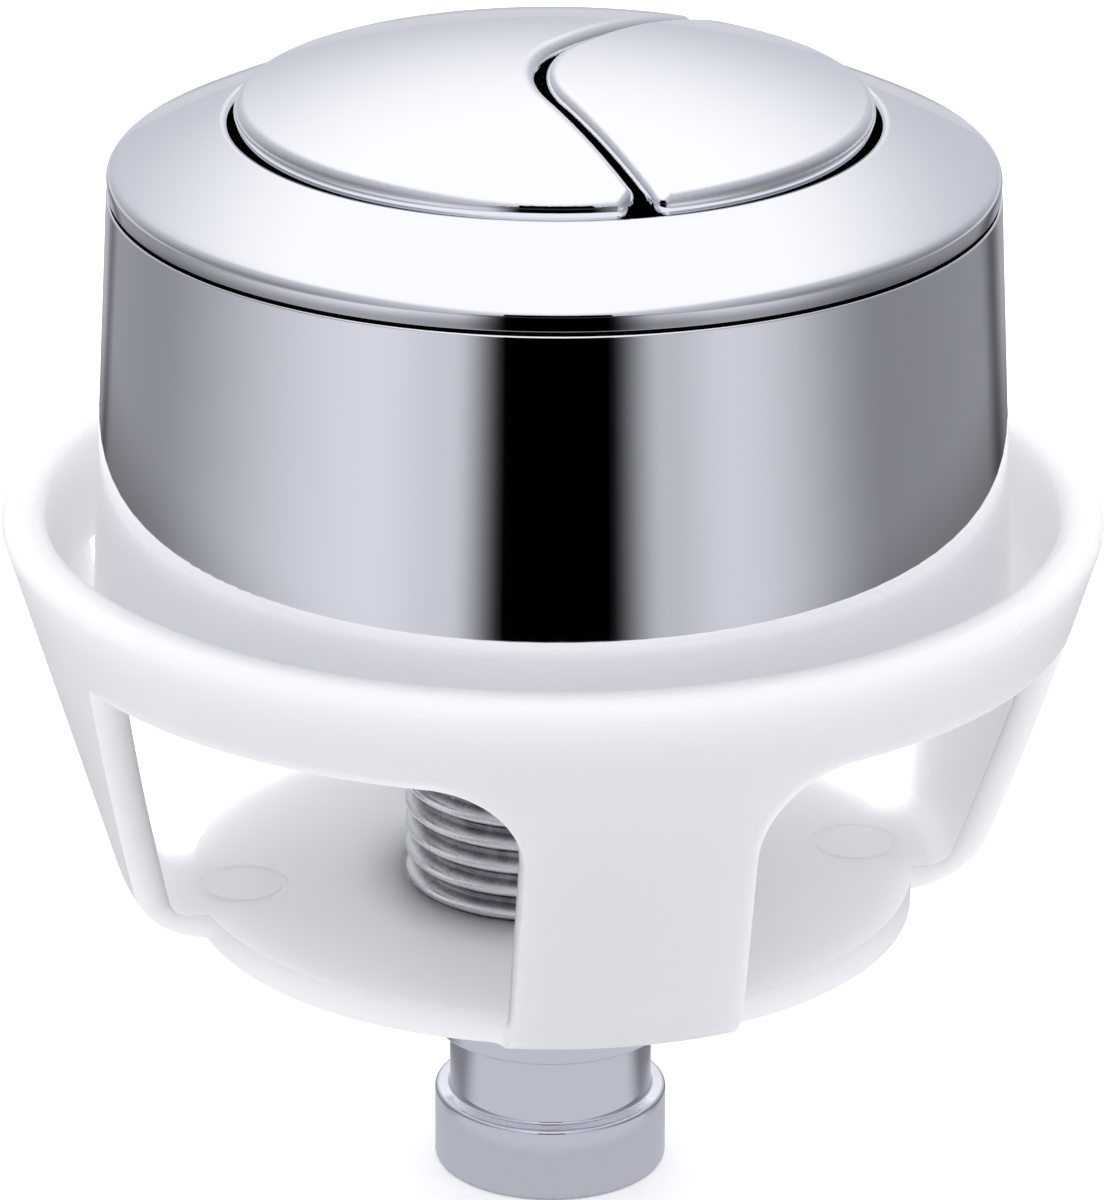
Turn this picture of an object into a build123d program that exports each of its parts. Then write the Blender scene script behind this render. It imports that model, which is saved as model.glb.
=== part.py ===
"""Push button cistern actuator: chrome two-part button on a hollow threaded stem with a plastic cup nut.

One frame for every piece: millimetres, Z up along the stem, origin at the foot of the stem,
X to the right and Y away from the viewer. The large full flush button is on the left.
"""
import math
import os

from build123d import *

# Driving dimensions of the chrome body
seam_radius = 29.0
seam_z = 69.2
sleeve_height = 29.3
sleeve_draft = 2.85
sleeve_wall = 2.35
floor_thick = 3.0
bezel_lip = 1.6
bezel_shell = 2.0
bezel_sphere = 63.0
bezel_width = 7.93
bezel_skirt_depth = 5.3
seam_gap = 0.22
seam_groove = 0.9
bezel_skirt_wall = 1.6
bezel_inner_wall = 1.8

# Driving dimensions of the buttons
ring_gap = 0.37
split_gap = 0.55
split_x = -2.27
split_y = -2.9
split_front_deg = 25.4
split_back_deg = 30.3
split_round = 10.5
button_sphere = 68.0
button_rise = 9.25
button_skirt = 2.8
button_wall = 1.8
button_shell = 2.0
button_edge = 0.9
button_tip = 1.3
button_inner_tip = 0.6
boss_sink = 0.4
boss_inset = 3.9
travel = 5.0

# Driving dimensions of the mechanism
rod_radius = 1.75
rod_apart = 2.3
rod_recess = 1.0
socket_wall = 0.85
socket_above_guide = 3.5
stalk_radius = 3.0
stalk_end = 1.4
clip_thick = 0.75
clip_bite = 0.75
plate_thick = 2.2
guide_thick = 3.0
tube_wall = 1.4
spring_wire = 0.45
spring_coils = 5.0
post_wall = 1.93
screw_radius = 1.45
screw_head = 2.8
screw_head_height = 1.8
screw_cross = 3.2
screw_cross_width = 0.8
screw_cross_depth = 0.8
cap_screw_radius = 1.0
cap_screw_head = 1.9
cap_head_height = 1.4
cap_cross = 2.2
cap_cross_width = 0.6
cap_cross_depth = 0.6
cap_screw_grip = 4.6
lock_nut_flats = 5.0
lock_nut_height = 2.4
guide_foot_wall = 2.6
guide_foot_width = 11.0

# Driving dimensions of the stem
thread_radius = 9.8
bush_wall = 0.75
bush_height = 6.0
neck_wall = 1.44
neck_height = 4.95
collar_lip = 1.26
collar_height = 1.6
foot_lip = 1.01
foot_height = 5.25
stem_flange_lip = 4.2
stem_flange_thick = 2.5

# Driving dimensions of the cup nut
rim_z = 47.95
rim_space = 3.03
rim_wall = 2.8
leg_wall = 2.1
rim_drop = 1.05
cup_slope = 0.299
band_height = 6.75
cup_height = 28.55
cup_floor = 2.1
sill_set_back = 2.4
leg_half_width = 7.4
leg_turn = 10.2
side_lean = 1.7
side_leg_low = 4.5
side_leg_high = 13.4
arch_round = 6.3
foot_round = 6.0
foot_inner_round = 1.5
sill_round = 1.3
hub_wall = 2.6
hub_depth = 5.0
mark_radius = 3.0
mark_width = 0.4
mark_depth = 0.15
mark_set_back = 3.3

# Clearances
running = 0.08
thread_gap = 0.1
slip = 0.05
press = 0.02
stop_gap = 0.05
shank_gap = 0.2
free_gap = 0.6
screw_gap = 0.2

# Heights and radii that follow from them
base_z = seam_z - sleeve_height
floor_z = base_z + floor_thick
flange_z = floor_z + stem_flange_thick
skirt_z = seam_z - button_skirt
plate_z = skirt_z + plate_thick
guide_z = flange_z + free_gap + travel + stalk_end + clip_thick + stop_gap
guide_top = guide_z + guide_thick
tube_top = skirt_z - travel - free_gap
socket_low = guide_top + socket_above_guide
groove_top = guide_z - stop_gap
sleeve_inner = seam_radius - sleeve_wall
base_radius = seam_radius + sleeve_height * math.tan(math.radians(sleeve_draft))
opening_radius = seam_radius - bezel_width
button_radius = opening_radius - ring_gap
bezel_center = seam_z + bezel_lip - math.sqrt(bezel_sphere ** 2 - seam_radius ** 2)
button_center = seam_z + button_rise - button_sphere
tube_radius = stalk_radius + tube_wall
spring_mean = tube_radius + free_gap + spring_wire + 0.15
rod_offset = rod_radius + rod_apart / 2
socket_radius = rod_radius + socket_wall
stalk_x = rod_offset + socket_radius + free_gap + spring_mean + spring_wire
stem_bore = rod_offset + rod_radius + bush_wall
neck_radius = stem_bore + neck_wall
foot_radius = neck_radius + foot_lip
stem_flange_radius = thread_radius + stem_flange_lip
stem_hole = thread_radius + shank_gap
collar_radius = neck_radius + collar_lip
collar_z = foot_height + neck_height
thread_low = collar_z + collar_height + 0.8 * (thread_radius - collar_radius)
well_radius = rod_offset + lock_nut_flats / math.sqrt(3) + 2 * free_gap
post_radius = screw_radius + post_wall
guide_radius = sleeve_inner - 2 * free_gap
screw_circle = guide_radius - screw_head - 2 * free_gap - 1.0
boss_circle = button_radius - button_wall - boss_inset
boss_radius = cap_screw_radius + 1.3
rim_inner = base_radius + rim_space
rim_outer = rim_inner + rim_wall
cup_low = rim_z - cup_height
cup_floor_z = cup_low + cup_floor
band_low = rim_z - band_height
leg_top = rim_outer - cup_slope * (band_height - rim_drop)
leg_low = leg_top - cup_slope * (band_low - cup_floor_z)
inner_low = leg_low - leg_wall
cup_floor_radius = inner_low - sill_set_back
mark_circle = cup_floor_radius - mark_set_back
nut_bore = thread_radius + thread_gap
hub_radius = nut_bore + hub_wall


def rounded_face(corners):
    """Flat face from (x, y, radius) corners, each turned into a tangent arc of its radius."""
    count = len(corners)
    joins = []
    for i in range(count):
        x, y, radius = corners[i]
        px, py = corners[i - 1][:2]
        nx, ny = corners[(i + 1) % count][:2]
        if radius <= 0:
            joins.append(((x, y), None, (x, y)))
            continue
        ax, ay = px - x, py - y
        bx, by = nx - x, ny - y
        la, lb = math.hypot(ax, ay), math.hypot(bx, by)
        ax, ay, bx, by = ax / la, ay / la, bx / lb, by / lb
        half = math.acos(max(-1.0, min(1.0, ax * bx + ay * by))) / 2
        back = radius / math.tan(half)
        mx, my = ax + bx, ay + by
        lm = math.hypot(mx, my)
        reach = radius / math.sin(half) - radius
        middle = (x + mx / lm * reach, y + my / lm * reach)
        joins.append(((x + ax * back, y + ay * back), middle, (x + bx * back, y + by * back)))
    edges = []
    for i in range(count):
        start, middle, end = joins[i]
        if middle:
            edges.append(ThreePointArc(start, middle, end))
        following = joins[(i + 1) % count][0]
        if math.dist(end, following) > 1e-6:
            edges.append(Line(end, following))
    return make_face(edges)


def turned(face):
    """Solid of revolution about Z from a face drawn as (radius, height)."""
    return revolve(Plane.XZ * face, axis=Axis.Z)


def drum(x, y, low, high, radius):
    """Upright cylinder between two heights."""
    return Pos(x, y, (low + high) / 2) * Cylinder(radius, high - low)


def split_face(offset, side):
    """Half plane on one side of the split between the buttons, moved off its centre line by offset."""
    front = math.radians(split_front_deg)
    back = math.radians(split_back_deg)
    front_way = (math.sin(front), -math.cos(front))
    back_way = (math.sin(back), math.cos(back))
    front_normal = (math.cos(front), math.sin(front))
    back_normal = (math.cos(back), -math.sin(back))
    a = front_normal[0] * split_x + front_normal[1] * split_y + side * offset
    b = back_normal[0] * split_x + back_normal[1] * split_y + side * offset
    det = front_normal[0] * back_normal[1] - front_normal[1] * back_normal[0]
    vx = (a * back_normal[1] - b * front_normal[1]) / det
    vy = (front_normal[0] * b - back_normal[0] * a) / det
    far = 3 * seam_radius
    return rounded_face([
        (vx + far * back_way[0], vy + far * back_way[1], 0),
        (vx, vy, split_round - side * offset),
        (vx + far * front_way[0], vy + far * front_way[1], 0),
        (side * 2 * far, -1.2 * far, 0),
        (side * 2 * far, 1.2 * far, 0),
    ])


def button_block(inset, side, low, high, tip):
    """Prism with one button's outline moved inward by inset, its two tips rounded."""
    outline = Circle(button_radius - inset) & split_face(split_gap / 2 + inset, side)
    block = Pos(0, 0, low) * extrude(outline, high - low)
    tips = [e for e in block.edges().filter_by(Axis.Z)
            if math.hypot(e.center().X, e.center().Y) > button_radius - inset - 0.01]
    return fillet(tips, tip)


def button_cap(side, bosses):
    """Hollow button with a domed top, rounded top edge and screw bosses on its underside."""
    above = seam_z + 2 * button_rise
    cap = button_block(0, side, skirt_z, above, button_tip)
    cap = cap & Pos(0, 0, button_center) * Sphere(button_sphere)
    cap = fillet(cap.faces().filter_by(GeomType.SPHERE)[0].edges(), button_edge)
    hollow = button_block(button_wall, side, skirt_z - 1, above, button_inner_tip)
    hollow = hollow & Pos(0, 0, button_center) * Sphere(button_sphere - button_shell)
    cap = cap - hollow
    for x, y in bosses:
        top = button_center + math.sqrt((button_sphere - button_shell) ** 2 - x * x - y * y)
        cap = cap + drum(x, y, plate_z, top + boss_sink, boss_radius)
        cap = cap - drum(x, y, plate_z - 1, plate_z + cap_screw_grip + free_gap, cap_screw_radius + press)
    return cap


def button_carrier(side, bosses):
    """Plate under a button with its guide stalk, clip groove, rod socket and screw holes."""
    plate = button_block(button_wall + slip, side, skirt_z, plate_z, 0.8)
    x_stalk = side * stalk_x
    stalk = drum(x_stalk, 0, groove_top - clip_thick - stalk_end, plate_z - 0.5, stalk_radius)
    stalk = chamfer(stalk.edges().sort_by(Axis.Z)[0], 0.5)
    groove = drum(x_stalk, 0, groove_top - clip_thick - slip, groove_top, stalk_radius + 1)
    groove = groove - drum(x_stalk, 0, groove_top - 2, groove_top + 1, stalk_radius - clip_bite)
    socket_x = side * rod_offset
    socket = drum(socket_x, 0, socket_low, skirt_z, socket_radius)
    carrier = plate + stalk + socket - groove
    carrier = carrier - drum(socket_x, 0, socket_low - 1, skirt_z - free_gap, rod_radius + press)
    for x, y in bosses:
        carrier = carrier - drum(x, y, skirt_z - 1, plate_z + 1, cap_screw_radius + screw_gap)
    return carrier


def cross_slot(length, width, depth):
    """Cross recess of a screw head, centred on the head's face."""
    return Box(length, width, 2 * depth) + Box(width, length, 2 * depth)


def cap_screws(bosses):
    """Small round head screws that hold a button on its carrier."""
    screws = []
    for x, y in bosses:
        head = drum(x, y, skirt_z - cap_head_height, skirt_z, cap_screw_head)
        head = fillet(head.edges().sort_by(Axis.Z)[0], 0.5)
        slot = Pos(x, y, skirt_z - cap_head_height) * cross_slot(cap_cross, cap_cross_width, cap_cross_depth)
        shank = drum(x, y, skirt_z - 0.2, plate_z + cap_screw_grip, cap_screw_radius)
        screws.append(head + shank - slot)
    return screws


def clip_ring(side):
    """Open retaining clip in the groove of a stalk."""
    x_stalk = side * stalk_x
    ring = drum(x_stalk, 0, groove_top - clip_thick, groove_top, tube_radius - 0.2)
    ring = ring - drum(x_stalk, 0, groove_top - 2, groove_top + 1, stalk_radius - clip_bite + press)
    mouth = 2 * (stalk_radius - clip_bite) - 1.1
    return ring - Pos(x_stalk, -tube_radius, groove_top) * Box(mouth, 2 * tube_radius, 4 * clip_thick)


def coil_spring(side):
    """Round wire spring between the guide block and a carrier."""
    low = guide_top + spring_wire
    high = skirt_z - spring_wire
    path = Helix((high - low) / spring_coils, high - low, spring_mean)
    wire = Plane(path @ 0, z_dir=path % 0) * Circle(spring_wire)
    return Pos(side * stalk_x, 0, low) * sweep(wire, path=path)


def push_rod(side):
    """Round push rod from its socket down to just inside the foot of the stem."""
    rod = drum(side * rod_offset, 0, rod_recess, skirt_z - free_gap - slip, rod_radius)
    return fillet(rod.edges().sort_by(Axis.Z)[0], 0.5)


def lock_nut(side):
    """Hexagon nut that locks a rod against its socket."""
    face = RegularPolygon(lock_nut_flats / 2, 6, major_radius=False, rotation=30)
    low = socket_low - lock_nut_height
    nut = Pos(side * rod_offset, 0, low) * extrude(face, lock_nut_height)
    return nut - drum(side * rod_offset, 0, low - 1, socket_low + 1, rod_radius + press)


# Chrome sleeve with floor and screw posts
screw_spots = [(screw_circle * math.cos(math.radians(a)), screw_circle * math.sin(math.radians(a)))
               for a in (45, 135, 225, 315)]
body_sleeve = turned(rounded_face([
    (stem_hole, base_z, 0),
    (base_radius, base_z, 0.8),
    (seam_radius, seam_z, 0.12),
    (sleeve_inner, seam_z, 0.2),
    (sleeve_inner, floor_z, 0.8),
    (stem_hole, floor_z, 0),
]))
for x, y in screw_spots:
    body_sleeve = body_sleeve + drum(x, y, floor_z - 0.5, guide_z, post_radius)
    body_sleeve = body_sleeve - drum(x, y, floor_z + 1.5, guide_z + 1, screw_radius + press)

# Domed bezel ring with its skirt inside the sleeve
def dome_height(radius, inset=0.0):
    """Height of the bezel's sphere, moved inward by inset, at a radius."""
    return bezel_center + math.sqrt((bezel_sphere - inset) ** 2 - radius ** 2)


lip_round = 0.8
edge_round = 0.4
skirt_outer = sleeve_inner - slip
skirt_inner = skirt_outer - bezel_skirt_wall
wall_outer = opening_radius + bezel_inner_wall
wall_low = skirt_z + 1.0
dome_out = (seam_radius - lip_round, dome_height(seam_radius - lip_round))
dome_in = (opening_radius + edge_round, dome_height(opening_radius + edge_round))
dome_mid = ((dome_out[0] + dome_in[0]) / 2, dome_height((dome_out[0] + dome_in[0]) / 2))
lip_top = seam_z + bezel_lip - lip_round
edge_low = dome_height(opening_radius) - edge_round
under_mid = (wall_outer + skirt_inner) / 2
bezel_edges = [
    Line((skirt_outer, seam_z), (seam_radius - seam_groove, seam_z)),
    Line((seam_radius - seam_groove, seam_z), (seam_radius - seam_groove, seam_z + seam_gap)),
    Line((seam_radius - seam_groove, seam_z + seam_gap), (seam_radius, seam_z + seam_gap)),
    Line((seam_radius, seam_z + seam_gap), (seam_radius, lip_top)),
    ThreePointArc((seam_radius, lip_top),
                  (seam_radius - 0.29 * lip_round, dome_out[1] - 0.40 * (dome_out[1] - lip_top)), dome_out),
    ThreePointArc(dome_out, dome_mid, dome_in),
    ThreePointArc(dome_in, (opening_radius + 0.29 * edge_round, edge_low + 0.75 * (dome_in[1] - edge_low)),
                  (opening_radius, edge_low)),
    Line((opening_radius, edge_low), (opening_radius, wall_low)),
    Line((opening_radius, wall_low), (wall_outer, wall_low)),
    Line((wall_outer, wall_low), (wall_outer, dome_height(wall_outer, bezel_shell))),
    ThreePointArc((wall_outer, dome_height(wall_outer, bezel_shell)),
                  (under_mid, dome_height(under_mid, bezel_shell)),
                  (skirt_inner, dome_height(skirt_inner, bezel_shell))),
    Line((skirt_inner, dome_height(skirt_inner, bezel_shell)), (skirt_inner, seam_z - bezel_skirt_depth)),
    Line((skirt_inner, seam_z - bezel_skirt_depth), (skirt_outer, seam_z - bezel_skirt_depth)),
    Line((skirt_outer, seam_z - bezel_skirt_depth), (skirt_outer, seam_z)),
]
bezel_ring = turned(make_face(bezel_edges))

# Guide block screwed to the posts, with two guide tubes and two feet on the stem's flange
guide_block = drum(0, 0, guide_z, guide_top, guide_radius)
for side in (-1, 1):
    guide_block = guide_block + drum(side * stalk_x, 0, guide_z, tube_top, tube_radius)
foot_outer = stem_flange_radius - 1.0
feet = drum(0, 0, flange_z, guide_z + 0.5, foot_outer)
feet = feet - drum(0, 0, flange_z - 1, guide_z + 1, foot_outer - guide_foot_wall)
foot_span = 3 * foot_outer
guide_block = guide_block + (feet & Pos(0, 0, guide_z) * Box(guide_foot_width, foot_span, foot_span))
guide_block = guide_block - drum(0, 0, flange_z - 1, tube_top + 1, well_radius)
for side in (-1, 1):
    guide_block = guide_block - drum(side * stalk_x, 0, guide_z - 1, tube_top + 1, stalk_radius + running)
for x, y in screw_spots:
    guide_block = guide_block - drum(x, y, guide_z - 1, guide_top + 1, screw_radius + screw_gap)

guide_screws = []
for x, y in screw_spots:
    head = drum(x, y, guide_top, guide_top + screw_head_height, screw_head)
    head = fillet(head.edges().sort_by(Axis.Z)[-1], 0.7)
    slot = cross_slot(screw_cross, screw_cross_width, screw_cross_depth)
    slot = Pos(x, y, guide_top + screw_head_height) * slot
    shank = drum(x, y, floor_z + 2.5, guide_top + 0.3, screw_radius)
    guide_screws.append(head + shank - slot)

# Hollow stem: foot, neck, collar, plain shank at the thread's crest and top flange
threaded_stem = turned(rounded_face([
    (stem_bore, 0, 0),
    (foot_radius, 0, 0.3),
    (foot_radius, foot_height, 0.3),
    (neck_radius, foot_height, 0.2),
    (neck_radius, collar_z, 0.25),
    (collar_radius, collar_z, 0.2),
    (collar_radius, collar_z + collar_height, 0),
    (thread_radius, thread_low, 0),
    (thread_radius, floor_z, 0),
    (stem_flange_radius, floor_z, 0),
    (stem_flange_radius, flange_z, 0.4),
    (stem_bore, flange_z, 0.4),
]))

# Two-hole bush that keeps the rods apart in the foot of the stem
bush_low = rod_recess + 0.2
rod_guide = drum(0, 0, bush_low, bush_low + bush_height, stem_bore - press)
for side in (-1, 1):
    rod_guide = rod_guide - drum(side * rod_offset, 0, -1, bush_low + bush_height + 1, rod_radius + running)

# Buttons: the full flush side is left of the split, the half flush side is right of it
def boss_spots(angles):
    """Screw places on the boss circle at angles from +X."""
    turns = [math.radians(a) for a in angles]
    return [(boss_circle * math.cos(a), boss_circle * math.sin(a)) for a in turns]


full_spots = boss_spots((127, 233))
half_spots = boss_spots((40, -42))
full_flush_button = button_cap(-1, full_spots)
half_flush_button = button_cap(1, half_spots)
full_flush_carrier = button_carrier(-1, full_spots)
half_flush_carrier = button_carrier(1, half_spots)

# Cup nut: rim band, four legs with windows between them, floor and threaded hub
def cup_outer(z):
    """Outer radius of the legs at a height, straight from the rim down."""
    return rim_outer - cup_slope * (rim_z - rim_drop - z)


def leg_way(degrees):
    """Direction from the stem's axis to a leg."""
    return math.cos(math.radians(degrees)), math.sin(math.radians(degrees))


def side_leg(degrees):
    """Block from the axis outwards as wide as a side leg, which widens evenly from the floor to the band."""
    x, y = leg_way(degrees)
    widening = (side_leg_high - side_leg_low) / (band_low - cup_low)
    low = side_leg_low - widening
    high = side_leg_high + widening
    face = make_face(Polyline(
        (-low, cup_low - 1), (low, cup_low - 1), (high, band_low + 1), (-high, band_low + 1), close=True))
    return extrude(Plane(origin=(0, 0, 0), x_dir=(-y, x, 0), z_dir=(x, y, 0)) * face, 2 * rim_outer)


clamp_nut = turned(rounded_face([
    (nut_bore, cup_low - hub_depth, 0.4),
    (hub_radius, cup_low - hub_depth, 0.6),
    (hub_radius, cup_low, 0.8),
    (cup_outer(cup_low), cup_low, foot_round),
    (cup_outer(rim_z), rim_z, 1.0),
    (rim_inner, rim_z, 0.8),
    (leg_top - leg_wall, band_low, 0),
    (inner_low, cup_floor_z, foot_inner_round),
    (nut_bore, cup_floor_z, 0.3),
]))
right_leg = leg_turn + side_lean
left_leg = leg_turn + 180 - side_lean
for straight, side in ((-90, right_leg), (90, right_leg), (90, left_leg), (270, left_leg)):
    ax, ay = leg_way(leg_turn + straight)
    bx, by = leg_way(side)
    begin = leg_half_width / abs(ax * by - ay * bx)
    cx, cy = begin * bx, begin * by
    far = 2 * rim_outer
    window = make_face(Polyline(
        (cx, cy),
        (cx + far * ax, cy + far * ay),
        (cx + far * (ax + bx), cy + far * (ay + by)),
        (cx + far * bx, cy + far * by),
        close=True,
    )) - Circle(cup_floor_radius)
    cutter = Pos(0, 0, cup_low - 1) * extrude(window, band_low - cup_low + 1, dir=(0, 0, 1))
    cutter = cutter - side_leg(side)
    sills = [e for e in cutter.edges().filter_by(Axis.Z)
             if abs(math.hypot(e.center().X, e.center().Y) - cup_floor_radius) < 0.01]
    cutter = fillet(sills, sill_round)
    arches = [e for e in cutter.edges().filter_by(GeomType.LINE)
              if abs(e.center().Z - band_low) < 0.01
              and abs(abs(ax * e.center().Y - ay * e.center().X) - leg_half_width) < 0.01]
    cutter = fillet(arches, arch_round)
    clamp_nut = clamp_nut - cutter
for turn in range(4):
    mid = math.radians(leg_turn - 90 + 90 * turn)
    x, y = mark_circle * math.cos(mid), mark_circle * math.sin(mid)
    mark = drum(x, y, cup_floor_z - mark_depth, cup_floor_z + 1, mark_radius)
    clamp_nut = clamp_nut - (mark - drum(x, y, cup_low, rim_z, mark_radius - mark_width))

nodes = {
    "body_sleeve": [body_sleeve],
    "bezel_ring": [bezel_ring],
    "guide_block": [guide_block],
    "guide_screws": guide_screws,
    "threaded_stem": [threaded_stem],
    "rod_guide": [rod_guide],
    "full_flush_button": [full_flush_button],
    "half_flush_button": [half_flush_button],
    "full_flush_carrier": [full_flush_carrier],
    "half_flush_carrier": [half_flush_carrier],
    "full_flush_cap_screws": cap_screws(full_spots),
    "half_flush_cap_screws": cap_screws(half_spots),
    "full_flush_spring": [coil_spring(-1)],
    "half_flush_spring": [coil_spring(1)],
    "full_flush_clip": [clip_ring(-1)],
    "half_flush_clip": [clip_ring(1)],
    "full_flush_rod": [push_rod(-1)],
    "half_flush_rod": [push_rod(1)],
    "full_flush_lock_nut": [lock_nut(-1)],
    "half_flush_lock_nut": [lock_nut(1)],
    "clamp_nut": [clamp_nut],
}

os.makedirs("parts", exist_ok=True)
for name, shapes in nodes.items():
    solids = [solid for shape in shapes for solid in shape.solids()]
    export_step(solids[0] if len(solids) == 1 else Compound(solids), f"parts/{name}.step")
    box = Compound(solids).bounding_box()
    print(name, len(solids), [round(v, 2) for v in (*box.min, *box.max)],
          round(sum(s.volume for s in solids), 1))
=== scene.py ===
"""Looks of the push button cistern actuator: chrome body and buttons, threaded stem and white cup nut.

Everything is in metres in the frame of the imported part: Z up along the stem, X right and Y away from
the viewer.
"""
import math

import bpy
import numpy as np
from mathutils import Matrix, Vector


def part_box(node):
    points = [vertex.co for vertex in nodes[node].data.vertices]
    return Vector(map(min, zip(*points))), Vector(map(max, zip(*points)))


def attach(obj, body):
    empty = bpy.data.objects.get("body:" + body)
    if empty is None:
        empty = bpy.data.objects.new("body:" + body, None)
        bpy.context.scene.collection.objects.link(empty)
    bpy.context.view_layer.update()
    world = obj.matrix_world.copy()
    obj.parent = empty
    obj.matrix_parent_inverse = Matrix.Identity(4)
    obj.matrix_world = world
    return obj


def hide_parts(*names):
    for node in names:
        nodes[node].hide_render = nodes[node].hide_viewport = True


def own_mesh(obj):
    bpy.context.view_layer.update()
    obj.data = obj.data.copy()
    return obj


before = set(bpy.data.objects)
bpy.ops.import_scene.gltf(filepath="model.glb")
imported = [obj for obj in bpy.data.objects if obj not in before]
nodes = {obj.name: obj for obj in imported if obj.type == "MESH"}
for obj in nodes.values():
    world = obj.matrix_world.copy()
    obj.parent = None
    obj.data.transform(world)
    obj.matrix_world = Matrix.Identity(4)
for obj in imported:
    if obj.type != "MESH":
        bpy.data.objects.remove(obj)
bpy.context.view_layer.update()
mm = 0.001

# Camera of the photograph: a long lens looking down on the front
camera_target_z = 40.5 * mm
camera_distance = 453.3 * mm
camera_pitch_deg = 21.62
camera_roll_deg = 0.26
camera_lens_mm = 205.1
camera_sensor_mm = 36.0
camera_near = 0.01
camera_far = 50.0

# Sizes read from the frame
_, stem_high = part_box("threaded_stem")
sleeve_low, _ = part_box("body_sleeve")
bezel_low, bezel_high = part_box("bezel_ring")

# Thread and turned details of the stem
thread_radius = 9.8 * mm
thread_pitch = 1.65 * mm
thread_depth = 0.85 * mm
thread_start_z = 13.16 * mm
thread_runout = 1.2 * mm
crest_share = 0.12
flank_share = 0.76
stem_bore = 5.4 * mm
bore_round = 0.2 * mm
foot_radius = 7.85 * mm
foot_height = 5.25 * mm
foot_round = 0.3 * mm
neck_radius = 6.84 * mm
neck_low_round = 0.2 * mm
neck_high_round = 0.25 * mm
collar_radius = 8.1 * mm
collar_low_z = 10.2 * mm
collar_high_z = 11.8 * mm
collar_low_round = 0.2 * mm
collar_high_round = 0.15 * mm
flange_radius = stem_high.x
flange_low_z = 42.9 * mm
flange_high_z = stem_high.z
flange_round = 0.4 * mm

# Bezel ring
seam_radius = bezel_high.x
seam_z = 69.2 * mm
seam_gap = 0.22 * mm
seam_groove = 0.9 * mm
lip_height = 1.6 * mm
lip_round = 0.8 * mm
lip_lean = 0.12 * mm
lip_foot = 0.2 * mm
lip_foot_lean = 0.8 * lip_lean
lip_foot_round = 0.1 * mm
dome_radius = 63.0 * mm
dome_start = 0.9 * mm
opening_radius = 21.07 * mm
opening_round = 0.4 * mm
opening_edge = 0.6 * mm
opening_wall = 1.8 * mm
opening_low_z = 67.4 * mm
shell_wall = 2.0 * mm
skirt_outer = 26.6 * mm
skirt_wall = 1.6 * mm

# Return springs
spring_wire = 0.45 * mm
spring_coils = 6.0
end_coils = 1.0

# Fineness of the meshes
turn_steps = 160
thread_rows = 290
stem_arc_steps = 5
ring_steps = 256
dome_rows = 24
hollow_rows = 6
groove_rows = 3
bezel_arc_steps = 8
coil_steps = 40
wire_sides = 12
sharp_edge_deg = 40

# Floor of the studio
floor_size = 8.0
floor_lift = 0.35

# Glowing cards on the floor with painted reflections, by their distance from the stem
card_radius = 8.5
card_height = 0.3 * mm
foot_reach = 15 * mm
neck_reach = 20 * mm
card_near = 35 * mm
card_start = 90 * mm
card_end = 300 * mm
card_far = 600 * mm
# Painted shade on the cards close to the object
shade_near = 150 * mm
shade_far = 200 * mm
shade_tone = 0.5
card_green = 1.02
card_blue = 1.10
# Even painted glow of the cards round the stem's foot, which the foot reflects
foot_tone = (0.545, 0.556, 0.60, 1.0)

# Tones of the cards: degrees from the front, right positive, and the tone there
# Painted shadow of the cup on the cards under it: pale in front, dark at the sides
under_cup_shadow_tones = (
    (-180, 0.50), (-155, 0.25), (-105, 0.25), (-75, 0.62),
    (80, 0.62), (110, 0.22), (155, 0.25), (180, 0.50))
round_body_tones = (
    (-180, 0.50), (-156, 0.46), (-147, 0.18), (-140, 0.33), (-114, 0.305), (-42, 0.765), (-24, 0.65),
    (-11, 0.0), (13, 0.0), (26, 0.55), (42, 0.70), (86, 0.255), (131, 0.29), (142, 0.12), (155, 0.38),
    (180, 0.50))
far_off_tones = (
    (-180, 0.66), (-135, 0.66), (-85, 0.36), (-26, 0.45), (-11, 0.05),
    (13, 0.05), (28, 0.40), (85, 0.30), (135, 0.66), (180, 0.66))

# Black flag in front
flag_place = -0.8
flag_left = -0.17
flag_right = 0.20
flag_height = 0.24

# Sky of the studio: heights and tones that the chrome shows, and the light on matt surfaces
sky_low = -0.05
sky_high = 0.62
sky_side = 1.9
sky_lean = 0.1
side_low = -1.5
side_high = 0.0
side_tone = (0.26, 0.27, 0.29, 1.0)
horizon_tone = (0.615, 0.634, 0.695, 1.0)
zenith_tone = (1.125, 1.125, 1.14, 1.0)
low_light = (0.58, 0.58, 0.59, 1.0)
high_light = (1.62, 1.62, 1.64, 1.0)

# Soft lamps: place and size in metres, power in watts
key_place = (-0.2, -0.5, 1.1)
key_size = 0.8
key_power = 1.4
back_place = (0.0, 0.7, 0.35)
back_size = 0.6
back_power = 2.1


def linear(code):
    """sRGB hex colour as linear RGBA."""
    parts = [int(code[i:i + 2], 16) / 255 for i in (1, 3, 5)]
    return [p / 12.92 if p <= 0.04045 else ((p + 0.055) / 1.055) ** 2.4 for p in parts] + [1.0]


def feed(tree, node, inputs):
    """Gives each input of a node a value, or a link where the value is another node's socket."""
    for key, value in inputs.items():
        if isinstance(value, bpy.types.NodeSocket):
            tree.links.new(value, node.inputs[key])
        else:
            node.inputs[key].default_value = value


def add(tree, kind, settings=None, inputs=None):
    """Adds a node, sets its properties and feeds its inputs."""
    made = tree.nodes.new(kind)
    for name, value in (settings or {}).items():
        setattr(made, name, value)
    feed(tree, made, inputs or {})
    return made


def empty_material(name):
    """Node material without nodes."""
    material = bpy.data.materials.new(name)
    material.use_nodes = True
    material.node_tree.nodes.clear()
    return material, material.node_tree


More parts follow.
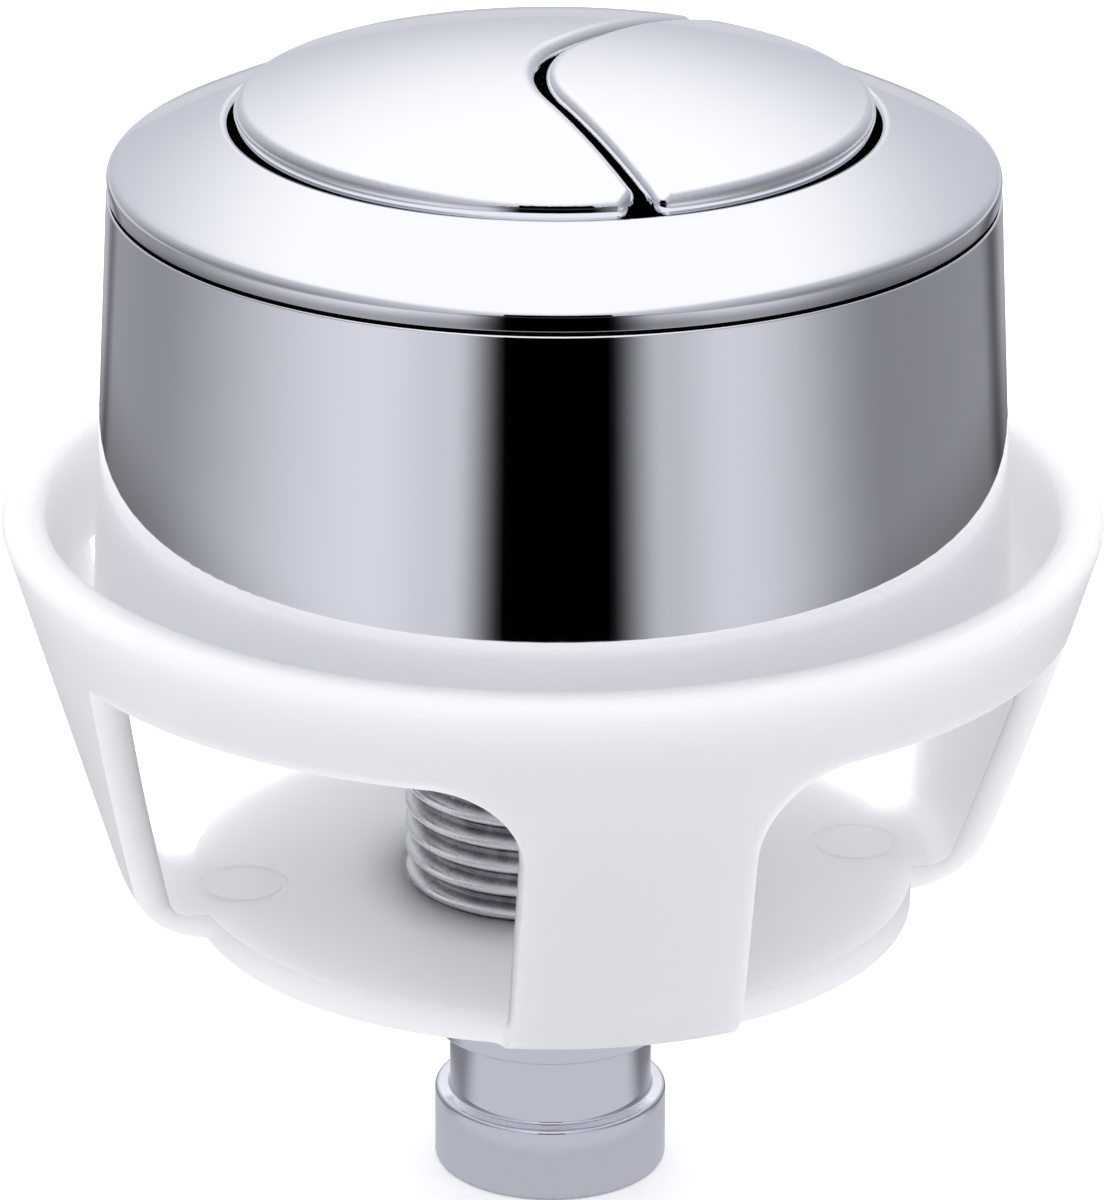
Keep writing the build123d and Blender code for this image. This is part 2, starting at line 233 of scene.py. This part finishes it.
def new_material(name):
    """Node material with its output, its shader and Object coordinates."""
    material, tree = empty_material(name)
    shader = add(tree, "ShaderNodeBsdfPrincipled")
    add(tree, "ShaderNodeOutputMaterial", None, {"Surface": shader.outputs["BSDF"]})
    place = add(tree, "ShaderNodeTexCoord").outputs["Object"]
    return material, tree, shader, place


def per_metre(size_mm):
    """Texture scale for a feature of this size in millimetres."""
    return 1000.0 / size_mm


def chrome_plate(name, tint, wave_mm):
    """Bright chrome plated on moulded plastic: mirror gloss, faint waviness and a trace of wiping haze."""
    material, tree, shader, place = new_material(name)
    haze = add(tree, "ShaderNodeTexNoise", None, {
        "Vector": place, "Scale": per_metre(14), "Detail": 4.0})
    gloss = add(tree, "ShaderNodeMapRange", None, {
        "Value": haze.outputs["Fac"], "From Min": 0.35, "From Max": 0.75, "To Min": 0.025, "To Max": 0.06})
    wave = add(tree, "ShaderNodeTexNoise", None, {
        "Vector": place, "Scale": per_metre(9), "Detail": 1.0})
    bump = add(tree, "ShaderNodeBump", None, {
        "Height": wave.outputs["Fac"], "Strength": 1.0, "Distance": wave_mm * mm})
    feed(tree, shader, {
        "Base Color": linear(tint), "Metallic": 1.0, "Roughness": gloss.outputs["Result"],
        "Normal": bump.outputs["Normal"]})
    return material


def plated_zinc(name):
    """Chrome on turned zinc: bright foot and neck, duller cut thread with painted shade in its roots, tool
    rings.
    """
    bright_rough, cut_rough, grain_rough = 0.03, 0.2, 0.08
    ring_mm = 2.2
    # Radians that the wave texture turns in one unit at scale 1
    wave_rate = 20
    material, tree, shader, place = new_material(name)
    height = add(tree, "ShaderNodeSeparateXYZ", None, {"Vector": place}).outputs["Z"]
    cut = add(tree, "ShaderNodeMapRange", None, {
        "Value": height, "From Min": collar_high_z, "From Max": thread_start_z + thread_runout})
    across = add(tree, "ShaderNodeVectorMath", {"operation": "MULTIPLY"}, {0: place, 1: (1.0, 1.0, 0.0)})
    radius = add(tree, "ShaderNodeVectorMath", {"operation": "LENGTH"}, {0: across.outputs["Vector"]})
    # Painted shade: the thread's roots darker than its crests, by the radius, with a random grain on top
    crest = add(tree, "ShaderNodeMapRange", {"interpolation_type": "SMOOTHSTEP"}, {
        "Value": radius.outputs["Value"],
        "From Min": thread_radius - thread_depth, "From Max": thread_radius})
    grain = add(tree, "ShaderNodeTexNoise", None, {
        "Vector": place, "Scale": per_metre(1.2), "Detail": 3.0})
    root_shade_and_grain = add(tree, "ShaderNodeMath", {"operation": "MULTIPLY_ADD"}, {
        0: grain.outputs["Fac"], 1: 0.5, 2: crest.outputs["Result"]})
    thread_root_shade = add(tree, "ShaderNodeMix", {"data_type": "RGBA"}, {
        "Factor": root_shade_and_grain.outputs["Value"], "A": linear("#48484A"), "B": linear("#E6E6E8")})
    tone = add(tree, "ShaderNodeMix", {"data_type": "RGBA"}, {
        "Factor": cut.outputs["Result"], "A": linear("#E6E7EE"), "B": thread_root_shade.outputs["Result"]})
    dull = add(tree, "ShaderNodeMath", {"operation": "MULTIPLY_ADD"}, {
        0: cut.outputs["Result"], 1: cut_rough, 2: bright_rough})
    gloss = add(tree, "ShaderNodeMath", {"operation": "MULTIPLY_ADD"}, {
        0: grain.outputs["Fac"], 1: grain_rough, 2: dull.outputs["Value"]})
    rings = add(tree, "ShaderNodeTexWave", {"bands_direction": "Z"}, {
        "Vector": place, "Scale": 2 * math.pi * per_metre(ring_mm) / wave_rate,
        "Distortion": 0.4, "Detail": 2.0})
    bump = add(tree, "ShaderNodeBump", None, {
        "Height": rings.outputs["Fac"], "Strength": 0.5, "Distance": 0.004 * mm})
    feed(tree, shader, {
        "Base Color": tone.outputs["Result"], "Metallic": 1.0, "Roughness": gloss.outputs["Value"],
        "Normal": bump.outputs["Normal"]})
    return material


def moulded_polypropylene(name):
    """White moulded polypropylene: waxy, slightly see-through, soft gloss with faint flow clouds."""
    material, tree, shader, place = new_material(name)
    cloud = add(tree, "ShaderNodeTexNoise", None, {
        "Vector": place, "Scale": per_metre(18), "Detail": 3.0})
    tone = add(tree, "ShaderNodeMix", {"data_type": "RGBA"}, {
        "Factor": cloud.outputs["Fac"], "A": linear("#F4F5F7"), "B": linear("#FAFAFC")})
    grain = add(tree, "ShaderNodeTexNoise", None, {
        "Vector": place, "Scale": per_metre(0.6), "Detail": 3.0})
    gloss = add(tree, "ShaderNodeMapRange", None, {
        "Value": grain.outputs["Fac"], "To Min": 0.32, "To Max": 0.46})
    bump = add(tree, "ShaderNodeBump", None, {
        "Height": grain.outputs["Fac"], "Strength": 0.6, "Distance": 0.006 * mm})
    feed(tree, shader, {
        "Base Color": tone.outputs["Result"], "IOR": 1.49, "Specular IOR Level": 0.35,
        "Subsurface Weight": 1.0, "Subsurface Radius": (1.0, 1.0, 1.0), "Subsurface Scale": 14.0 * mm,
        "Roughness": gloss.outputs["Result"], "Normal": bump.outputs["Normal"]})
    return material


def moulded_acetal(name, low, high):
    """Natural acetal: dense off-white engineering plastic with a dry satin surface."""
    material, tree, shader, place = new_material(name)
    cloud = add(tree, "ShaderNodeTexNoise", None, {
        "Vector": place, "Scale": per_metre(6), "Detail": 3.0})
    tone = add(tree, "ShaderNodeMix", {"data_type": "RGBA"}, {
        "Factor": cloud.outputs["Fac"], "A": linear(low), "B": linear(high)})
    grain = add(tree, "ShaderNodeTexNoise", None, {
        "Vector": place, "Scale": per_metre(0.5), "Detail": 3.0})
    gloss = add(tree, "ShaderNodeMapRange", None, {
        "Value": grain.outputs["Fac"], "To Min": 0.42, "To Max": 0.58})
    bump = add(tree, "ShaderNodeBump", None, {
        "Height": grain.outputs["Fac"], "Strength": 0.6, "Distance": 0.008 * mm})
    feed(tree, shader, {
        "Base Color": tone.outputs["Result"], "IOR": 1.48, "Roughness": gloss.outputs["Result"],
        "Normal": bump.outputs["Normal"]})
    return material


def small_metal(name, low, high, rough_low, rough_high, streak_mm):
    """Bare or plated small metal part: two close tones and a streaky gloss along its length."""
    material, tree, shader, place = new_material(name)
    stretched = add(tree, "ShaderNodeMapping", None, {"Vector": place, "Scale": (1.0, 1.0, 0.12)})
    streak = add(tree, "ShaderNodeTexNoise", None, {
        "Vector": stretched.outputs["Vector"], "Scale": per_metre(streak_mm), "Detail": 4.0})
    tone = add(tree, "ShaderNodeMix", {"data_type": "RGBA"}, {
        "Factor": streak.outputs["Fac"], "A": linear(low), "B": linear(high)})
    gloss = add(tree, "ShaderNodeMapRange", None, {
        "Value": streak.outputs["Fac"], "To Min": rough_low, "To Max": rough_high})
    bump = add(tree, "ShaderNodeBump", None, {
        "Height": streak.outputs["Fac"], "Strength": 0.5, "Distance": 0.004 * mm})
    feed(tree, shader, {
        "Base Color": tone.outputs["Result"], "Metallic": 1.0, "Roughness": gloss.outputs["Result"],
        "Normal": bump.outputs["Normal"]})
    return material


def seam_shade_plastic(name):
    """Black painted shade in the groove at the seam, as dull plastic with a fine grain."""
    material, tree, shader, place = new_material(name)
    grain = add(tree, "ShaderNodeTexNoise", None, {
        "Vector": place, "Scale": per_metre(0.4), "Detail": 2.0})
    tone = add(tree, "ShaderNodeMix", {"data_type": "RGBA"}, {
        "Factor": grain.outputs["Fac"], "A": linear("#0A0A0B"), "B": linear("#141416")})
    feed(tree, shader, {
        "Base Color": tone.outputs["Result"], "Roughness": 0.6, "Specular IOR Level": 0.2})
    return material


def put(name, data):
    """Object at the origin with this data, linked into the scene."""
    made = bpy.data.objects.new(name, data)
    bpy.context.scene.collection.objects.link(made)
    return made


def mesh_piece(name, points, faces):
    """Object from points in metres and faces of equal size, smooth below the sharp angle."""
    mesh = bpy.data.meshes.new(name)
    mesh.vertices.add(len(points))
    mesh.vertices.foreach_set("co", points.astype(np.float32).ravel())
    count, size = faces.shape
    mesh.loops.add(count * size)
    mesh.loops.foreach_set("vertex_index", faces.astype(np.int32).ravel())
    mesh.polygons.add(count)
    mesh.polygons.foreach_set("loop_start", np.arange(0, count * size, size, dtype=np.int32))
    mesh.polygons.foreach_set("use_smooth", np.ones(count, bool))
    mesh.update()
    mesh.validate()
    mesh.set_sharp_from_angle(angle=math.radians(sharp_edge_deg))
    return put(name, mesh)


def closed_grid(name, x, y, z):
    """Mesh from a grid of points that closes on itself in both directions, faces pointing outwards."""
    rows, columns = x.shape
    row = np.arange(rows)[:, None]
    column = np.arange(columns)[None, :]
    here = row * columns + column
    right = row * columns + (column + 1) % columns
    above = (row + 1) % rows * columns + column
    corner = (row + 1) % rows * columns + (column + 1) % columns
    faces = np.stack([here, right, corner, above], -1).reshape(-1, 4)
    return mesh_piece(name, np.stack([x, y, z], -1).reshape(-1, 3), faces)


def rounded_outline(corners, arc_steps):
    """Closed outline of (radius, height) corners, each replaced by a tangent arc of its own radius.

    A corner of radius q and half angle h starts q / tan(h) before the corner and ends as far after it.
    """
    count = len(corners)
    points = []
    for i, (r, z, q) in enumerate(corners):
        here = np.array([r, z])
        if q <= 0:
            points.append(here)
            continue
        back = np.array(corners[i - 1][:2]) - here
        ahead = np.array(corners[(i + 1) % count][:2]) - here
        back = back / np.linalg.norm(back)
        ahead = ahead / np.linalg.norm(ahead)
        half = math.acos(np.clip(back @ ahead, -1, 1)) / 2
        reach = q / math.tan(half)
        middle = (back + ahead) / np.linalg.norm(back + ahead) * q / math.sin(half)
        start = back * reach - middle
        end = ahead * reach - middle
        turn = math.atan2(start[0] * end[1] - start[1] * end[0], start @ end)
        angles = np.linspace(0, turn, arc_steps)
        cos, sin = np.cos(angles), np.sin(angles)
        points += list(here + middle + np.stack([
            start[0] * cos - start[1] * sin, start[0] * sin + start[1] * cos], -1))
    return np.array(points)


def dome_height(radius, inset=0.0):
    """Height of the bezel's dome at a radius: a sphere through the lip's top edge, moved in by inset."""
    middle = seam_z + lip_height - math.sqrt(dome_radius ** 2 - seam_radius ** 2)
    return middle + np.sqrt((dome_radius - inset) ** 2 - radius ** 2)


def domed_bezel():
    """Ring with a lip, a dome round the opening and a skirt: its section carried round the axis."""
    groove = seam_radius - seam_groove
    under = seam_z + seam_gap
    wall_outer = opening_radius + opening_wall
    skirt_inner = skirt_outer - skirt_wall
    top = np.linspace(seam_radius - dome_start, opening_radius + opening_edge, dome_rows)
    hollow = np.linspace(wall_outer, skirt_inner, hollow_rows)
    lip_z = float(dome_height(seam_radius))
    edge_z = float(dome_height(opening_radius))
    corners = [
        (skirt_outer, seam_z, 0.0),
        (groove, seam_z, 0.0),
        (groove, under, 0.0),
        (seam_radius - lip_lean, under, lip_foot_round),
        (seam_radius - lip_foot_lean, under + lip_foot, 0.0),
        (seam_radius, lip_z, lip_round),
    ]
    corners += [(r, float(dome_height(r)), 0.0) for r in top]
    corners += [
        (opening_radius, edge_z, opening_round),
        (opening_radius, edge_z - opening_edge, 0.0),
        (opening_radius, opening_low_z, 0.0),
        (wall_outer, opening_low_z, 0.0),
    ]
    corners += [(r, float(dome_height(r, shell_wall)), 0.0) for r in hollow]
    corners += [(skirt_inner, bezel_low.z, 0.0), (skirt_outer, bezel_low.z, 0.0)]
    section = rounded_outline(corners, bezel_arc_steps)
    radius, height = section[:, :1], section[:, 1:]
    turn = np.linspace(0, 2 * math.pi, ring_steps, endpoint=False)[None, :]
    height = np.broadcast_to(height, (len(section), ring_steps))
    return closed_grid("domed_bezel", radius * np.cos(turn), radius * np.sin(turn), height)


def thread_cut(height, turn):
    """Depth of the thread below its crest: a rounded V that climbs a pitch a turn and fades at its ends."""
    phase = (height - thread_start_z) / thread_pitch - turn / (2 * math.pi)
    valley = np.abs(2 * (phase - np.floor(phase)) - 1)
    shape = np.clip((valley - crest_share) / flank_share, 0, 1)
    shape = shape * shape * (3 - 2 * shape)
    fade = np.clip((height - thread_start_z) / thread_runout, 0, 1)
    fade = fade * np.clip((sleeve_low.z - height) / thread_runout, 0, 1)
    return thread_depth * shape * fade


def threaded_stem():
    """Turned stem: its section carried round the axis, with the thread's depth taken off the shank."""
    section = rounded_outline([
        (stem_bore, 0.0, bore_round),
        (foot_radius, 0.0, foot_round),
        (foot_radius, foot_height, foot_round),
        (neck_radius, foot_height, neck_low_round),
        (neck_radius, collar_low_z, neck_high_round),
        (collar_radius, collar_low_z, collar_low_round),
        (collar_radius, collar_high_z, collar_high_round),
        (thread_radius, thread_start_z, 0.0),
        (thread_radius, flange_low_z, 0.0),
        (flange_radius, flange_low_z, 0.0),
        (flange_radius, flange_high_z, flange_round),
        (stem_bore, flange_high_z, flange_round),
    ], stem_arc_steps)
    rows = np.linspace(thread_start_z, sleeve_low.z, thread_rows)[1:]
    shank = np.stack([np.full_like(rows, thread_radius), rows], -1)
    corner = np.linalg.norm(section - [thread_radius, thread_start_z], axis=1).argmin()
    section = np.insert(section, corner + 1, shank, axis=0)
    radius, height = section[:, :1], section[:, 1:]
    turn = np.linspace(0, 2 * math.pi, turn_steps, endpoint=False)[None, :]
    on_shank = np.isclose(radius, thread_radius, rtol=0.0, atol=1e-9)
    radius = radius - np.where(on_shank, thread_cut(height, turn), 0.0)
    height = np.broadcast_to(height, radius.shape)
    return closed_grid("turned_stem", radius * np.cos(turn), radius * np.sin(turn), height)


def return_spring(name, node):
    """Round wire carried along a helix with closed ends.

    The height climbs one wire thickness a turn over each end coil and evenly over the free coils between.
    """
    low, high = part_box(node)
    centre = (low + high) / 2
    mean = (high.x - low.x) / 2 - spring_wire
    rise = high.z - low.z - 2 * spring_wire
    closed = 2 * spring_wire * end_coils
    turn = np.linspace(0, spring_coils, int(spring_coils * coil_steps))[:, None]
    climb = np.interp(turn, [0, end_coils, spring_coils - end_coils, spring_coils],
                      [0, closed, rise - closed, rise])
    angle = 2 * math.pi * turn
    ring = np.linspace(0, 2 * math.pi, wire_sides, endpoint=False)[None, :]
    radius = mean + spring_wire * np.cos(ring)
    x = centre.x + radius * np.cos(angle)
    y = centre.y + radius * np.sin(angle)
    z = low.z + spring_wire + climb + spring_wire * np.sin(ring)
    rows, columns = x.shape
    row = np.arange(rows - 1)[:, None]
    column = np.arange(columns)[None, :]
    beside = (column + 1) % columns
    here, ahead = row * columns + column, (row + 1) * columns + column
    sides = np.stack([here, ahead, (row + 1) * columns + beside, row * columns + beside], -1)
    sides = sides.reshape(-1, 4)
    points = np.stack([x, y, z], -1).reshape(-1, 3)
    first = np.arange(columns)
    last = (rows - 1) * columns + first
    hubs = np.array([points[first].mean(0), points[last].mean(0)])
    start = np.stack([first, np.roll(first, -1), np.full(columns, rows * columns)], -1)
    end = np.stack([np.roll(last, -1), last, np.full(columns, rows * columns + 1)], -1)
    triangles = np.concatenate([sides[:, [0, 1, 2]], sides[:, [0, 2, 3]], start, end])
    return mesh_piece(name, np.concatenate([points, hubs]), triangles)


def dress(piece, material):
    """Gives a piece one material."""
    piece.data.materials.clear()
    piece.data.materials.append(material)


# Finishes
body_chrome = chrome_plate("chrome_plate_body", "#EDEEF2", 0.0006)
button_chrome = chrome_plate("chrome_plate_buttons", "#EFF0F4", 0.0004)
stem_chrome = plated_zinc("chrome_plated_zinc")
# Painted shade for the groove at the seam
groove_shade = seam_shade_plastic("painted_seam_shade")
cup_plastic = moulded_polypropylene("white_moulded_polypropylene")
guide_plastic = moulded_acetal("natural_acetal", "#E4E2DA", "#ECEAE3")
screw_zinc = small_metal("zinc_plated_steel", "#B9BDC4", "#D3D6DB", 0.22, 0.38, 0.8)
spring_steel = small_metal("stainless_spring_wire", "#AEB1B6", "#CFD1D4", 0.2, 0.34, 0.3)
turned_brass = small_metal("turned_brass", "#C9A24E", "#DDBB6C", 0.18, 0.3, 0.5)

finish_of = {
    "body_sleeve": body_chrome,
    "bezel_ring": body_chrome,
    "threaded_stem": stem_chrome,
    "clamp_nut": cup_plastic,
    "guide_block": guide_plastic,
    "guide_screws": screw_zinc,
    "rod_guide": guide_plastic,
}
for button in ("full_flush", "half_flush"):
    finish_of[button + "_button"] = button_chrome
    finish_of[button + "_carrier"] = guide_plastic
    finish_of[button + "_cap_screws"] = screw_zinc
    finish_of[button + "_spring"] = spring_steel
    finish_of[button + "_clip"] = spring_steel
    finish_of[button + "_rod"] = turned_brass
    finish_of[button + "_lock_nut"] = turned_brass
for name, material in finish_of.items():
    dress(nodes[name], material)

# Stem with its thread, and bezel with an even shine
stem = threaded_stem()
bezel = domed_bezel()
for piece, node, material, slot in (
        (stem, "threaded_stem", stem_chrome, "chromed_stem"),
        (bezel, "bezel_ring", body_chrome, "chromed_body")):
    dress(piece, material)
    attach(piece, "body")
    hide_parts(node)

# The groove at the seam is painted black as shade: the first rows of the bezel's section
groove_shade_faces = np.zeros(len(bezel.data.polygons), np.int32)
groove_shade_faces[:groove_rows * ring_steps] = 1
bezel.data.materials.append(groove_shade)
bezel.data.polygons.foreach_set("material_index", groove_shade_faces)

# Springs of round wire in place of the imported ones
for button in ("full_flush", "half_flush"):
    spring = return_spring(button + "_coil", button + "_spring")
    dress(spring, spring_steel)
    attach(spring, "body")
    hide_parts(button + "_spring")
    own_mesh(spring)


def flat_disc(name, radius, height):
    """Flat disc about the stem's axis."""
    turn = np.linspace(0, 2 * math.pi, turn_steps, endpoint=False)
    rim = np.stack([radius * np.cos(turn), radius * np.sin(turn), np.full(turn_steps, height)], -1)
    around = np.arange(turn_steps)
    faces = np.stack([around, np.roll(around, -1), np.full(turn_steps, turn_steps)], -1)
    return mesh_piece(name, np.concatenate([rim, [[0, 0, height]]]), faces)


def white_table():
    """Matt white table, lifted a little for the camera so that only the soft shadow shows on it."""
    material, tree, shader, _ = new_material("white_table")
    seen = add(tree, "ShaderNodeLightPath").outputs["Is Camera Ray"]
    lift = add(tree, "ShaderNodeMath", {"operation": "MULTIPLY"}, {0: seen, 1: floor_lift})
    feed(tree, shader, {
        "Base Color": linear("#E8E8EA"), "Roughness": 0.9, "Specular IOR Level": 0.0,
        "Emission Color": linear("#FFFFFF"), "Emission Strength": lift.outputs["Value"]})
    return material


def black_flag():
    """Upright black flag in front of the object, behind the camera, which only the chrome shows."""
    points = np.array([
        [flag_left, flag_place, 0], [flag_right, flag_place, 0],
        [flag_right, flag_place, flag_height], [flag_left, flag_place, flag_height]])
    flag = mesh_piece("black_flag", points, np.array([[0, 1, 2, 3]]))
    material, tree, shader, _ = new_material("black_cloth")
    feed(tree, shader, {"Base Color": linear("#000000"), "Specular IOR Level": 0.0})
    dress(flag, material)
    return flag


def chrome_only(piece):
    """Lets only mirror reflections see a piece."""
    piece.visible_camera = False
    piece.visible_diffuse = False
    piece.visible_transmission = False
    piece.visible_shadow = False


def card_tones(tree, bearing, tones):
    """One ring of cards: grey tones with a trace of blue, eased from one bearing to the next."""
    ramp = add(tree, "ShaderNodeValToRGB", None, {"Fac": bearing})
    ramp.color_ramp.interpolation = "EASE"
    stops = ramp.color_ramp.elements
    while len(stops) < len(tones):
        stops.new(0.5)
    for stop, (degrees, tone) in zip(stops, tones):
        stop.position = (degrees + 180) / 360
        stop.color = (tone, card_green * tone, card_blue * tone, 1.0)
    return ramp.outputs["Color"]


def painted_reflection_cards():
    """Glowing cards laid round the object with painted reflections, which only the chrome shows.

    Their tone follows the bearing round the stem: a black gap in front between two pale cards, darker
    cards at the sides and dark joints at the back, with painted shade close to the object. Under the cup
    they carry the cup's painted shadow, pale in front and dark at the sides; at the foot an even grey,
    and far off darker at the sides.
    """
    material, tree = empty_material("painted_reflection_cards")
    place = add(tree, "ShaderNodeTexCoord").outputs["Object"]
    parts = add(tree, "ShaderNodeSeparateXYZ", None, {"Vector": place})
    front = add(tree, "ShaderNodeMath", {"operation": "MULTIPLY"}, {0: parts.outputs["Y"], 1: -1.0})
    turn = add(tree, "ShaderNodeMath", {"operation": "ARCTAN2"}, {
        0: parts.outputs["X"], 1: front.outputs["Value"]})
    bearing = add(tree, "ShaderNodeMapRange", None, {
        "Value": turn.outputs["Value"], "From Min": -math.pi, "From Max": math.pi}).outputs["Result"]
    away = add(tree, "ShaderNodeVectorMath", {"operation": "LENGTH"}, {0: place}).outputs["Value"]
    # Painted shade: the cards darker close to the object
    shade = add(tree, "ShaderNodeMapRange", {"interpolation_type": "SMOOTHSTEP"}, {
        "Value": away, "From Min": shade_near, "From Max": shade_far, "To Min": shade_tone})
    under_cup_shadow = card_tones(tree, bearing, under_cup_shadow_tones)
    round_body = add(tree, "ShaderNodeVectorMath", {"operation": "SCALE"}, {
        0: card_tones(tree, bearing, round_body_tones), "Scale": shade.outputs["Result"]})
    far_off = card_tones(tree, bearing, far_off_tones)
    tone = foot_tone
    for start, end, beyond in (
            (foot_reach, neck_reach, under_cup_shadow),
            (card_near, card_start, round_body.outputs["Vector"]),
            (card_end, card_far, far_off)):
        share = add(tree, "ShaderNodeMapRange", {"interpolation_type": "SMOOTHSTEP"}, {
            "Value": away, "From Min": start, "From Max": end})
        tone = add(tree, "ShaderNodeMix", {"data_type": "RGBA"}, {
            "Factor": share.outputs["Result"], "A": tone, "B": beyond}).outputs["Result"]
    glow = add(tree, "ShaderNodeEmission", None, {"Color": tone})
    add(tree, "ShaderNodeOutputMaterial", None, {"Surface": glow.outputs["Emission"]})
    return material


def studio_sky():
    """Soft studio light: pale lavender grey low down, darker far to the sides, white overhead.

    The camera sees plain white, and matt surfaces get a light that grows evenly from the horizon up.
    """
    world = bpy.data.worlds.new("studio")
    bpy.context.scene.world = world
    world.use_nodes = True
    tree = world.node_tree
    tree.nodes.clear()
    way = add(tree, "ShaderNodeTexCoord").outputs["Generated"]
    parts = add(tree, "ShaderNodeSeparateXYZ", None, {"Vector": way})
    aside = add(tree, "ShaderNodeMath", {"operation": "MULTIPLY"}, {
        0: parts.outputs["X"], 1: parts.outputs["X"]})
    lean = add(tree, "ShaderNodeMath", {"operation": "MULTIPLY_ADD"}, {
        0: parts.outputs["X"], 1: -sky_lean, 2: parts.outputs["Z"]})
    height = add(tree, "ShaderNodeMath", {"operation": "MULTIPLY_ADD"}, {
        0: aside.outputs["Value"], 1: -sky_side, 2: lean.outputs["Value"]}).outputs["Value"]
    climb = add(tree, "ShaderNodeMapRange", {"interpolation_type": "SMOOTHSTEP"}, {
        "Value": height, "From Min": sky_low, "From Max": sky_high})
    sides = add(tree, "ShaderNodeMapRange", None, {
        "Value": height, "From Min": side_low, "From Max": side_high})
    low_tone = add(tree, "ShaderNodeMix", {"data_type": "RGBA"}, {
        "Factor": sides.outputs["Result"], "A": side_tone, "B": horizon_tone})
    mirrored = add(tree, "ShaderNodeMix", {"data_type": "RGBA"}, {
        "Factor": climb.outputs["Result"], "A": low_tone.outputs["Result"], "B": zenith_tone})
    lit = add(tree, "ShaderNodeMix", {"data_type": "RGBA"}, {
        "Factor": parts.outputs["Z"], "A": low_light, "B": high_light})
    path = add(tree, "ShaderNodeLightPath")
    tone = add(tree, "ShaderNodeMix", {"data_type": "RGBA"}, {
        "Factor": path.outputs["Is Diffuse Ray"],
        "A": mirrored.outputs["Result"], "B": lit.outputs["Result"]})
    colour = add(tree, "ShaderNodeMix", {"data_type": "RGBA"}, {
        "Factor": path.outputs["Is Camera Ray"], "A": tone.outputs["Result"], "B": linear("#FFFFFF")})
    light = add(tree, "ShaderNodeBackground", None, {"Color": colour.outputs["Result"]})
    add(tree, "ShaderNodeOutputWorld", None, {"Surface": light.outputs["Background"]})


def soft_lamp(name, place, size, power):
    """Square soft lamp that points at the middle of the object and stays out of the mirror surfaces."""
    lamp = bpy.data.lights.new(name, "AREA")
    lamp.size = size
    lamp.energy = power
    holder = put(name, lamp)
    holder.location = place
    aim = Vector((0, 0, camera_target_z)) - holder.location
    holder.rotation_euler = aim.to_track_quat("-Z", "Y").to_euler()
    holder.visible_glossy = False


def photo_camera():
    """Long lens camera in front, pitched down and rolled a little."""
    pitch, roll = math.radians(camera_pitch_deg), math.radians(camera_roll_deg)
    ahead = Vector((0, math.cos(pitch), -math.sin(pitch)))
    up = Vector((0, math.sin(pitch), math.cos(pitch)))
    right = Vector((1, 0, 0))
    across = math.cos(roll) * right + math.sin(roll) * up
    over = math.cos(roll) * up - math.sin(roll) * right
    lens = bpy.data.cameras.new("photo_camera")
    lens.lens = camera_lens_mm
    lens.sensor_width = camera_sensor_mm
    lens.clip_start = camera_near
    lens.clip_end = camera_far
    camera = put("photo_camera", lens)
    turn = Matrix((across, over, -ahead)).transposed()
    place = Vector((0, 0, camera_target_z)) - camera_distance * ahead
    camera.matrix_world = Matrix.Translation(place) @ turn.to_4x4()
    bpy.context.scene.camera = camera


# Studio round the object
floor = flat_disc("white_floor", floor_size, 0.0)
dress(floor, white_table())
# Card ring that glows with painted reflections and painted shade, seen only by the chrome
cards = flat_disc("painted_reflection_ring", card_radius, card_height)
dress(cards, painted_reflection_cards())
flag = black_flag()
chrome_only(cards)
chrome_only(flag)
studio_sky()
soft_lamp("key_softbox", key_place, key_size, key_power)
soft_lamp("back_softbox", back_place, back_size, back_power)
photo_camera()
bpy.context.scene.view_settings.view_transform = "Standard"
